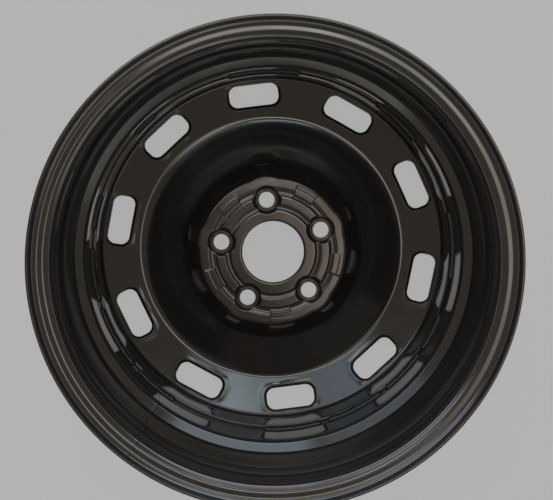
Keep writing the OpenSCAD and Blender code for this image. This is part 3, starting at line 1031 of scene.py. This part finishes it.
    def _slot_place(self, loop: np.ndarray, depth: float) -> np.ndarray:
        """Points of a slot's loop at a depth below the inboard face, for the slot on +Y.

        The vent band is a cone. Its height over the tangent plane at the slot's middle solves
        y sin(slope) + h cos(slope) = (radius - middle radius) tan(slope), by repeated insertion.

        Args:
            loop: Outline as (along the wheel, up the slope).
            depth: Depth along the slot's own axis.

        Returns:
            Points, shaped like the loop with a third coordinate.
        """
        slope = math.radians(self.vent_slope)
        sin, cos = math.sin(slope), math.cos(slope)
        middle = self.skirt_r - self.slot_inset
        s = self._band_s(Side.INBOARD, np.array([middle]))
        z0 = float(self.line.at(s, self.sheet / 2.0)[1][0])
        x, y = loop[:, 0], loop[:, 1]
        h = np.zeros_like(x)
        for _ in range(self.SLOT_ROUNDS):
            r = np.hypot(x, middle + y * cos - h * sin)
            h = ((r - middle) * sin / cos - y * sin) / cos
        h = h - depth
        return np.stack([x, middle + y * cos - h * sin, z0 + y * sin + h * cos], axis=-1)

    def _slot_outline(self, across: int, grow: float, depth: float) -> np.ndarray:
        """Points of a slot's outline, grown by a distance, at a depth below the inboard face."""
        return self._slot_place(self._slot_loop(across, self.SLOT_ROWS, grow), depth)

    def _band_s(self, side: Side, r: np.ndarray) -> np.ndarray:
        """Lengths along the middle line at which one face of the vent band has the given radii."""
        ends = np.array([self.band_start, self.band_end])
        r_ends, _ = self.line.at(ends, side.value * self.sheet / 2.0)
        return ends[0] + (r - r_ends[0]) * (ends[1] - ends[0]) / (r_ends[1] - r_ends[0])

    def _slot_face(self, side: Side, edge: np.ndarray, border: np.ndarray, shares: Sequence[float]) -> list:
        """Rings on one face of the vent band, from a cell's border to the edge of its slot.

        The inboard face dips towards the slot: the dip's depth times 1 minus a smooth step of the
        distance from the slot's lip, over the dip's width or as far as the cell's border.

        Args:
            side: Which face.
            edge: Points of the slot's edge on that face.
            border: Points of the cell's border as (length along the middle line, angle).
            shares: Share of the way from the edge to the border, for each ring.

        Returns:
            Rings of points.
        """
        r = np.hypot(edge[:, 0], edge[:, 1])
        inner = np.stack([self._band_s(side, r), np.degrees(np.arctan2(edge[:, 0], edge[:, 1]))], axis=-1)
        gap = np.hypot(border[:, 0] - inner[:, 0], r * np.radians(border[:, 1] - inner[:, 1]))
        rings = []
        for share, loop in zip(shares, blend_rings(inner, border, shares)):
            r_loop, z_loop = self.line.at(loop[:, 0], side.value * self.sheet / 2.0)
            if side is Side.INBOARD:
                away = share * gap / np.minimum(gap, self.dip_w)
                z_loop = z_loop - self.dip_h * (1.0 - smooth_step(away, 0.0, 1.0))
            rings.append(wheel_points(r_loop, loop[:, 1], z_loop))
        return rings

    def _slots(self, work: Patchwork) -> None:
        """Add the vent band: round each slot, rings from its cell's border to the slot and through it."""
        half = self.columns[self.columns <= self.HALF_SLOT + CLOSE]
        other = self.columns[self.columns >= self.HALF_SLOT - CLOSE] - self.pitch / 2.0
        rows = np.linspace(self.band_start, self.band_end, self.SLOT_ROWS + 1)
        through = [(grow, depth + self.dip_h) for grow, depth in self.SLOT_LIP]
        through += [(grow, self.sheet - depth) for grow, depth in self.SLOT_BACK]
        for kind, cell in enumerate((half, other)):
            angles = np.unique(np.round(np.concatenate([cell, -cell]), 6))
            across = len(angles) - 1
            border = border_loop(rows, angles)
            lip_edge = self._slot_outline(across, self.SLOT_LIP[0][0], 0.0)
            back_edge = self._slot_outline(across, *through[-1])
            rings = self._slot_face(Side.INBOARD, lip_edge, border, self.SLOT_SHARES)
            rings += [self._slot_outline(across, grow, depth) for grow, depth in through]
            rings += self._slot_face(Side.OUTBOARD, back_edge, border, self.SLOT_SHARES[::3])[::-1]
            for i in range(kind, self.slot_count, 2):
                work.add_ring(turned(np.stack(rings), i * 360.0 / self.slot_count))

    def build(self) -> bpy.types.Object:
        """Sew the hub, the bore, the vent band and the skirt into one closed piece."""
        work = Patchwork("stamped_disc")
        self._hub(work)
        self._bore(work)
        self._slots(work)
        self._skirt(work)
        return work.sewn()


@dataclass
class WeldBeads:
    """Runs of weld metal in the corner between the skirt's edge and the well."""

    well_r: float
    edge_z: float = 30.0
    sheet: float = 3.6
    leg: float = 5.0
    bare: float = 0.3
    ripple: float = 1.7
    ripple_h: float = 0.12
    bow: float = 1.6
    wander: float = 0.07
    end_len: float = 3.4
    sink: float = 0.15
    step: float = 0.25
    turns: int = 14
    waves: tuple = ((9.0, 1.0, 0.0), (3.7, 0.7, 0.0), (1.9, 0.5, 2.0))
    lag_len: float = 4.1
    lag: float = 0.35
    runs: tuple = (
        (352.5, 23.0), (41.0, 17.5), (83.0, 22.5), (117.0, 13.0), (131.5, 16.0), (149.0, 20.0),
        (171.0, 19.0), (220.5, 15.5), (238.0, 21.5), (261.5, 17.5), (284.5, 11.5), (318.0, 9.0),
    )

    def _run(self, start: float, sweep: float, seed: int) -> np.ndarray:
        """Surface of one bead as a grid of (along, around its section).

        The section is a quarter of an ellipse between its two legs. Its size is scaled by ripples
        that bow forward in the middle, by a wander of three sines, each with its own length, share
        and twist, and by a round taper at each end: the square root of 1 - (1 - distance / end
        length)^2.

        Args:
            start: Angle at which the bead starts.
            sweep: Angle that it covers.
            seed: Seed of the bead's own wander.

        Returns:
            Points whose last columns close the section along the two faces that it is welded to.
        """
        rng = np.random.default_rng(seed)
        length = math.radians(sweep) * self.well_r
        count = int(length / self.step)
        along = np.linspace(0.0, length, count + 1)[:, None]
        turn = np.linspace(0.0, math.pi / 2.0, self.turns)[None]
        phase = rng.uniform(0.0, 2.0 * math.pi, len(self.waves) + 1)
        wave = sum(
            share * np.sin(along / wave_len + start_phase + twist * turn)
            for start_phase, (wave_len, share, twist) in zip(phase, self.waves)
        )
        whole = sum(share for _, share, _ in self.waves)
        lead = along + self.bow * np.sin(2.0 * turn) + self.lag * np.sin(along / self.lag_len + phase[-1])
        crest = 0.5 + 0.5 * np.cos(2.0 * math.pi * lead / self.ripple)
        size = 1.0 - self.ripple_h * crest**2 + self.wander * wave / whole
        near = np.minimum(along, length - along)
        end = np.sqrt(np.clip(1.0 - (1.0 - np.minimum(near / self.end_len, 1.0)) ** 2, 0.0, 1.0))
        size = size * end
        inward = (self.sheet - self.bare) * np.cos(turn) * size
        upward = self.leg * np.sin(turn) * size
        r = np.concatenate([self.well_r - inward, np.full_like(along, self.well_r + self.sink)], axis=1)
        z = np.concatenate([-self.edge_z + upward, np.full_like(along, -self.edge_z - self.sink)], axis=1)
        r[:, self.turns - 1] += self.sink
        z[:, 0] -= self.sink
        angle = start + np.degrees(along / self.well_r)
        return wheel_points(r, angle, z)

    def build(self) -> bpy.types.Object:
        """Make all beads as one piece of separate closed runs."""
        work = Patchwork("weld_runs")
        for seed, (start, sweep) in enumerate(self.runs):
            grid = self._run(start, sweep, seed)
            work.add(np.concatenate([grid, grid[:, :1]], axis=1))
            ends = grid[[0, -1]]
            middle = ends.mean(axis=1, keepdims=True)
            for row, centre in zip(ends, middle):
                cap = np.stack([row, np.broadcast_to(centre, row.shape)])
                work.add(np.concatenate([cap, cap[:, :1]], axis=1))
        return work.sewn()


class Value:
    """A socket in a node tree that can be used in arithmetic; each operation adds a Math node."""

    def __init__(self, tree: "Nodes", socket: bpy.types.NodeSocket) -> None:
        """Wrap a socket of a tree."""
        self.tree = tree
        self.socket = socket

    def __add__(self, other: Any) -> "Value":
        """Sum."""
        return self.tree.math("ADD", self, other)

    __radd__ = __add__

    def __mul__(self, other: Any) -> "Value":
        """Product."""
        return self.tree.math("MULTIPLY", self, other)

    __rmul__ = __mul__

    def __sub__(self, other: Any) -> "Value":
        """Difference."""
        return self.tree.math("SUBTRACT", self, other)

    def __rsub__(self, other: Any) -> "Value":
        """Difference, with this value taken away."""
        return self.tree.math("SUBTRACT", other, self)

    def __pow__(self, other: Any) -> "Value":
        """Power."""
        return self.tree.math("POWER", self, other)

    def step(self, low: float, high: float, to_low: float = 0.0, to_high: float = 1.0) -> "Value":
        """Smooth step of this value from one pair of limits to another."""
        limits = {"From Min": low, "From Max": high, "To Min": to_low, "To Max": to_high}
        smooth = {"interpolation_type": "SMOOTHSTEP"}
        return self.tree.add("ShaderNodeMapRange", smooth, {"Value": self, **limits}).out("Result")


class Node:
    """A node with its outputs in reach."""

    def __init__(self, tree: "Nodes", node: bpy.types.Node) -> None:
        """Wrap a node of a tree."""
        self.tree = tree
        self.node = node

    def out(self, key: Any = 0) -> Value:
        """One output as a value, by its name or its place."""
        return Value(self.tree, self.node.outputs[key])


class Nodes:
    """Builder for one node tree."""

    # radius in metres at which an arc's length is taken
    ARC_R = 0.19
    # factor, first colour, second colour and result of a Mix node for colours
    MIX_SOCKETS = (0, 6, 7, 2)

    def __init__(self, tree: bpy.types.NodeTree) -> None:
        """Clear a tree and start to build in it."""
        self.tree = tree
        tree.nodes.clear()

    def add(self, kind: str, settings: Optional[dict] = None, inputs: Optional[dict] = None) -> Node:
        """Add a node.

        Args:
            kind: Node type.
            settings: Attributes of the node.
            inputs: Values or links for its sockets, by name or place.

        Returns:
            The new node.
        """
        node = self.tree.nodes.new(kind)
        for key, value in (settings or {}).items():
            setattr(node, key, value)
        for key, value in (inputs or {}).items():
            if isinstance(value, Value):
                self.tree.links.new(value.socket, node.inputs[key])
            else:
                node.inputs[key].default_value = value
        return Node(self, node)

    def math(self, operation: str, *values: Any) -> Value:
        """Result of a Math node on up to three values."""
        return self.add("ShaderNodeMath", {"operation": operation}, dict(enumerate(values))).out()

    def object_place(self) -> Value:
        """Object coordinates, in metres."""
        return self.add("ShaderNodeTexCoord").out("Object")

    def noise(self, place: Value, size: float, detail: float = 2.0, roughness: float = 0.5) -> Value:
        """Noise whose features are about the given size in millimetres, from 0 to 1."""
        inputs = {"Vector": place, "Scale": 1.0 / (size * MM), "Detail": detail, "Roughness": roughness}
        return self.add("ShaderNodeTexNoise", {}, inputs).out()

    def mix(self, share: Any, a: Any, b: Any, blend: str = "MIX") -> Value:
        """Colour a mixed with colour b by a share, or with that share of b added to it."""
        settings = {"data_type": "RGBA", "blend_type": blend, "clamp_factor": blend == "MIX"}
        factor, first, second, result = self.MIX_SOCKETS
        return self.add("ShaderNodeMix", settings, {factor: share, first: a, second: b}).out(result)

    def rolled_place(self, place: Value, around: float) -> Value:
        """Coordinates that follow the wheel, so that a pattern is drawn out along its way round.

        Args:
            place: Object coordinates.
            around: Scale of the arc length at the rim.

        Returns:
            A vector of (radius, height, scaled arc length).
        """
        parts = self.add("ShaderNodeSeparateXYZ", {}, {0: place})
        x, y, z = parts.out(0), parts.out(1), parts.out(2)
        radius = (x * x + y * y) ** 0.5
        arc = self.math("ARCTAN2", x, y) * (self.ARC_R * around)
        return self.add("ShaderNodeCombineXYZ", {}, {0: radius, 1: z, 2: arc}).out()


def grey(level: float, warmth: float = 0.0) -> tuple:
    """Linear colour of a grey level, warmer above 0 and cooler below it."""
    return (level * (1.0 + warmth), level, level * (1.0 - warmth), 1.0)


@dataclass(frozen=True)
class DipPaint:
    """Black dip paint over pressed steel, with a faint orange peel and a little dust."""

    name: str
    base: float = 0.008
    dust: float = 0.026
    dust_share: float = 0.35
    gloss: float = 0.085
    dull: float = 0.145
    wide_size: float = 60.0
    wide_dust: tuple = (0.42, 0.72)
    wide_gloss: tuple = (0.3, 0.7)
    fine_size: float = 1.1
    fine_dust: tuple = (0.45, 0.75)
    fine_rough: float = 0.04
    speck_size: float = 5.5
    speck_dust: tuple = (0.66, 0.8)
    speck_share: float = 0.5
    dust_rough: float = 0.2
    peel_size: float = 2.6
    peel_h: float = 0.006
    grain_size: float = 0.45
    grain_h: float = 0.0006
    roll_size: float = 0.8
    roll_around: float = 0.02
    roll_h: float = 0.0

    def build(self) -> bpy.types.Material:
        """Make the material.

        The colour is black, lifted in patches of thin dust. The roughness wanders between glossy
        and dull with a wide noise. The relief adds orange peel, the sheet's grain and, where asked
        for, fine lines left by rolling, which follow the wheel round.

        Returns:
            The material.
        """
        material = bpy.data.materials.new(self.name)
        material.use_nodes = True
        nodes = Nodes(material.node_tree)
        place = nodes.object_place()
        wide = nodes.noise(place, self.wide_size, 3.0, 0.6)
        fine = nodes.noise(place, self.fine_size, 3.0, 0.65)
        speck = nodes.noise(place, self.speck_size, 4.0, 0.7)
        dusty = wide.step(*self.wide_dust) * fine.step(*self.fine_dust)
        dusty = (dusty + speck.step(*self.speck_dust) * self.speck_share) * self.dust_share
        colour = nodes.mix(dusty, grey(self.base, 0.03), grey(self.dust, 0.06))
        rough = wide.step(*self.wide_gloss, self.gloss, self.dull)
        rough = rough + dusty * self.dust_rough + (fine - 0.5) * self.fine_rough
        peel = nodes.noise(place, self.peel_size, 1.5, 0.4)
        grain = nodes.noise(place, self.grain_size, 2.0, 0.5)
        height = peel * (self.peel_h * MM) + grain * (self.grain_h * MM)
        if self.roll_h:
            rolled = nodes.noise(nodes.rolled_place(place, self.roll_around), self.roll_size, 2.5, 0.6)
            height = height + rolled * (self.roll_h * MM)
        bump = nodes.add("ShaderNodeBump", {}, {"Strength": 1.0, "Distance": 1.0, "Height": height})
        inputs = {"Base Color": colour, "Roughness": rough, "Normal": bump.out(), "Specular IOR Level": 0.5}
        shader = nodes.add("ShaderNodeBsdfPrincipled", {}, inputs)
        nodes.add("ShaderNodeOutputMaterial", {}, {0: shader.out()})
        return material


@dataclass(frozen=True)
class Panel:
    """Soft patch of light far away, placed by its tilt from straight up and its turn from +Y."""

    tilt: float
    turn: float
    tilt_half: float
    turn_half: float
    soft: float
    level: float
    colour: tuple

    def share(self, nodes: Nodes, tilt: Value, turn: Value) -> Value:
        """Its light in a direction: the product of two smooth steps.

        One is of the tilt's distance from its middle, the other of the turn's, which is counted the
        short way round.

        Args:
            nodes: The world's nodes.
            tilt: Tilt of the direction.
            turn: Turn of the direction.

        Returns:
            Its level within its patch, falling to 0 outside.
        """
        high = nodes.math("ABSOLUTE", tilt - self.tilt)
        side = nodes.math("ABSOLUTE", nodes.math("WRAP", turn - self.turn, 180.0, -180.0))
        spread = self.soft / math.sin(math.radians(self.tilt))
        share = high.step(self.tilt_half, self.tilt_half + self.soft, 1.0, 0.0)
        return share * side.step(self.turn_half, self.turn_half + spread, self.level, 0.0)


@dataclass(frozen=True)
class Spot:
    """Round soft light far away, about a direction given by its tilt and its turn."""

    tilt: float
    turn: float
    radius: float
    soft: float
    level: float
    colour: tuple

    def share(self, nodes: Nodes, way: Value) -> Value:
        """Its light in a direction: a smooth step of the cosine of the angle from its middle.

        Args:
            nodes: The world's nodes.
            way: Unit vector of the direction.

        Returns:
            Its level within its radius, falling to 0 outside.
        """
        tilt, turn = math.radians(self.tilt), math.radians(self.turn)
        middle = (math.sin(tilt) * math.sin(turn), math.sin(tilt) * math.cos(turn), math.cos(tilt))
        product = nodes.add("ShaderNodeVectorMath", {"operation": "DOT_PRODUCT"}, {0: way, 1: middle})
        end, full = (math.cos(math.radians(self.radius + more)) for more in (self.soft, 0.0))
        return product.out("Value").step(end, full, 0.0, self.level)


@dataclass
class Studio:
    """Floor, surroundings and camera.

    The turns and the shift take the wheel's points into the camera's frame. The lights are few, wide
    and soft, and lie where the gloss of the paint shows them.
    """

    floor_z: float
    floor_half: float = 6000.0
    background: float = 0.445
    floor_own: float = 0.9
    focal_px: float = 928.6
    frame_px: float = 553.0
    sensor: float = 36.0
    near: float = 10.0
    turn: tuple = (6.23, 1.61, 6.88)
    shift: tuple = (-2.2, -6.9, -908.9)
    dim: tuple = (0.50, 0.43, 0.36)
    panels: tuple = (
        Panel(23.0, 14.0, 2.5, 16.0, 3.0, 3.9, (0.79, 0.95, 1.0)),
        Panel(24.0, -28.0, 3.0, 14.0, 4.0, 2.3, (0.59, 0.80, 1.0)),
        Panel(42.0, 8.0, 4.0, 22.0, 6.0, 2.0, (1.0, 0.72, 0.50)),
        Panel(42.0, -38.0, 4.0, 16.0, 6.0, 3.5, (1.0, 0.81, 0.64)),
        Panel(54.0, 12.0, 5.0, 22.0, 6.0, 1.4, (0.94, 0.88, 1.0)),
        Panel(54.0, -35.0, 5.0, 18.0, 6.0, 2.6, (0.61, 0.78, 1.0)),
        Panel(67.0, 20.0, 6.0, 20.0, 7.0, 2.9, (0.70, 0.88, 1.0)),
        Panel(67.0, -28.0, 6.0, 16.0, 7.0, 1.0, (0.72, 0.86, 1.0)),
        Panel(79.0, 0.0, 4.0, 50.0, 6.0, 3.5, (0.62, 0.80, 1.0)),
        Panel(64.0, 150.0, 8.0, 22.0, 10.0, 1.5, (1.0, 0.99, 0.96)),
        Panel(70.0, 195.0, 8.0, 22.0, 10.0, 1.0, (0.91, 1.0, 0.86)),
        Panel(90.0, 0.0, 8.0, 180.0, 8.0, 0.8, (1.0, 0.93, 0.92)),
    )
    spots: tuple = (
        Spot(3.0, 20.0, 3.0, 3.0, 5.4, (1.0, 0.95, 0.83)),
        Spot(8.0, 75.0, 3.0, 4.0, 3.1, (0.72, 0.89, 1.0)),
        Spot(7.0, 135.0, 2.0, 3.0, 1.5, (1.0, 0.60, 0.32)),
        Spot(14.0, 105.0, 4.0, 4.0, 2.9, (1.0, 0.90, 0.81)),
        Spot(13.0, 145.0, 3.0, 4.0, 2.2, (1.0, 0.94, 0.90)),
        Spot(12.0, -35.0, 3.0, 4.0, 4.8, (0.95, 1.0, 0.94)),
        Spot(16.0, 60.0, 3.0, 4.0, 2.1, (0.89, 1.0, 1.0)),
        Spot(30.0, 38.0, 4.0, 6.0, 2.6, (0.60, 0.85, 1.0)),
    )

    def camera(self) -> None:
        """Place the camera by a fit to the photograph.

        The wheel's points pass into the camera's frame by three turns, about Z, then Y, then X, and
        a shift. The camera's own place is the inverse of that.
        """
        ax, ay, az = (math.radians(a) for a in self.turn)
        rotation = Matrix.Rotation(ax, 4, "X") @ Matrix.Rotation(ay, 4, "Y") @ Matrix.Rotation(az, 4, "Z")
        to_camera = Matrix.Translation(Vector(self.shift) * MM) @ rotation
        data = bpy.data.cameras.new("camera")
        data.sensor_width = self.sensor
        data.lens = self.focal_px / self.frame_px * self.sensor
        data.clip_start = self.near * MM
        camera = bpy.data.objects.new("camera", data)
        camera.matrix_world = to_camera.inverted()
        bpy.context.scene.collection.objects.link(camera)
        bpy.context.scene.camera = camera

    def floor(self) -> None:
        """Lay a plain floor that glows with part of its own colour and keeps the wheel's shadow.

        The glow shows to the camera and in the wheel's reflections, and lights nothing.
        """
        corners = [(-1, -1), (1, -1), (1, 1), (-1, 1)]
        half = self.floor_half * MM
        mesh = bpy.data.meshes.new("floor")
        mesh.from_pydata([(x * half, y * half, self.floor_z * MM) for x, y in corners], [], [(0, 1, 2, 3)])
        piece = bpy.data.objects.new("floor", mesh)
        bpy.context.scene.collection.objects.link(piece)
        material = bpy.data.materials.new("floor_grey")
        material.use_nodes = True
        nodes = Nodes(material.node_tree)
        colour = grey(self.background)
        plain = nodes.add("ShaderNodeBsdfDiffuse", {}, {"Color": colour})
        glow = nodes.add("ShaderNodeEmission", {}, {"Color": colour, "Strength": 1.0})
        path = nodes.add("ShaderNodeLightPath")
        share = (path.out("Is Camera Ray") + path.out("Is Glossy Ray")) * self.floor_own
        both = nodes.add("ShaderNodeMixShader", {}, {0: share, 1: plain.out(0), 2: glow.out(0)})
        nodes.add("ShaderNodeOutputMaterial", {}, {0: both.out()})
        mesh.materials.append(material)

    def world(self) -> None:
        """Surround the wheel with dim light, and add each panel and each spot to it."""
        world = bpy.data.worlds.new("studio")
        bpy.context.scene.world = world
        world.use_nodes = True
        nodes = Nodes(world.node_tree)
        way = nodes.add("ShaderNodeTexCoord").out("Generated")
        parts = nodes.add("ShaderNodeSeparateXYZ", {}, {0: way})
        tilt = nodes.math("ARCCOSINE", parts.out(2)) * math.degrees(1.0)
        turn = nodes.math("ARCTAN2", parts.out(0), parts.out(1)) * math.degrees(1.0)
        lights = [(panel.share(nodes, tilt, turn), panel.colour) for panel in self.panels]
        lights += [(spot.share(nodes, way), spot.colour) for spot in self.spots]
        total: Any = (*self.dim, 1.0)
        for share, colour in lights:
            total = nodes.mix(share, total, (*colour, 1.0), "ADD")
        light = nodes.add("ShaderNodeBackground", {}, {"Color": total, "Strength": 1.0})
        nodes.add("ShaderNodeOutputWorld", {}, {0: light.out()})

    def build(self) -> None:
        """Set the view transform and make the whole studio."""
        bpy.context.scene.view_settings.view_transform = "Standard"
        self.camera()
        self.floor()
        self.world()


def dress(piece: bpy.types.Object, material: bpy.types.Material, node: str) -> None:
    """Give a piece its material and its body, and let it stand for its CAD node.

    Args:
        piece: The finished piece.
        material: Its material.
        node: The CAD node that it replaces.
    """
    piece.data.materials.clear()
    piece.data.materials.append(material)
    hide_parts(node)
    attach(piece, BODY)
    log.info("%s stands for %s in %s", piece.name, node, material.name)


def main() -> None:
    """Build the wheel's pieces in order, then the studio."""
    logging.basicConfig(level=logging.INFO, format="%(name)s %(message)s")
    rim = RolledRim()
    disc = StampedDisc(skirt_r=rim.well_r)
    beads = WeldBeads(well_r=rim.well_r)
    dress(rim.build(), DipPaint("rim_black", roll_h=0.0012).build(), "rim")
    dress(disc.build(), DipPaint("disc_black").build(), "disc")
    dress(beads.build(), DipPaint("weld_black", dull=0.3).build(), "weld_beads")
    Studio(floor_z=CAD_BOUNDS[0].z / MM).build()


if __name__ == "__main__":
    main()
